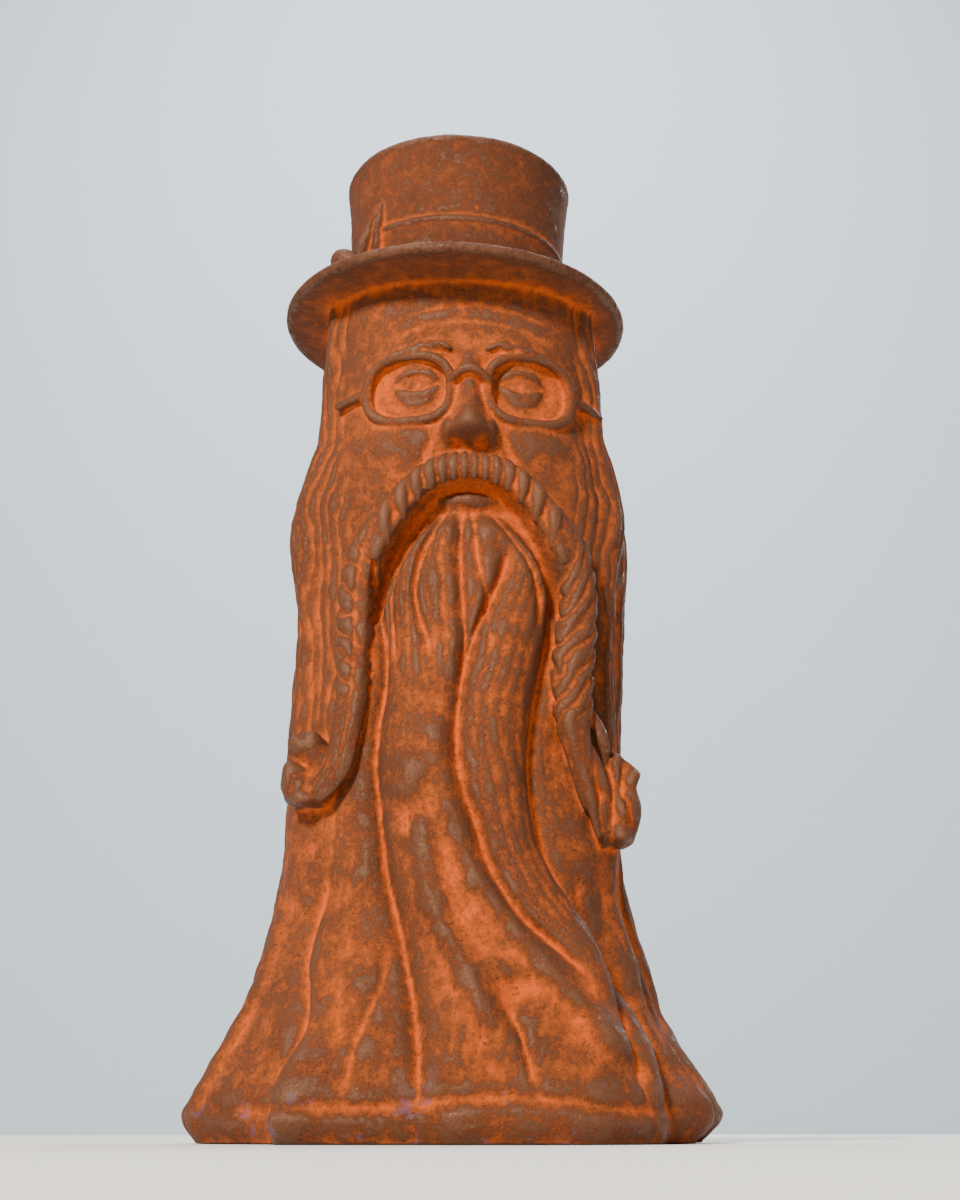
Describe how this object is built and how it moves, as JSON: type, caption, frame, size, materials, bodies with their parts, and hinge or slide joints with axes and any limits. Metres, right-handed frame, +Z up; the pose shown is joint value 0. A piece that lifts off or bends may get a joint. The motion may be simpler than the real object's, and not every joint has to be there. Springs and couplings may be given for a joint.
{
  "type": "garden statue",
  "caption": "Rusty cast iron garden statue of a long-bearded man in a top hat and spectacles, on a flared robe that stands flat.",
  "frame": {"origin": "middle of the statue's box at its flat underside, on the surface that it stands on", "axes": "+Z up the figure, -Y the way that the figure faces, +X to a viewer's right in front of it"},
  "size_m": [0.1237, 0.0948, 0.25],
  "materials": {
    "rusted_iron": "sand-cast, pitted, orange rust in the hollows, browner and slightly burnished on the ridges"
  },
  "bodies": {
    "root": {"statue": "rusted_iron"}
  },
  "joints": []
}
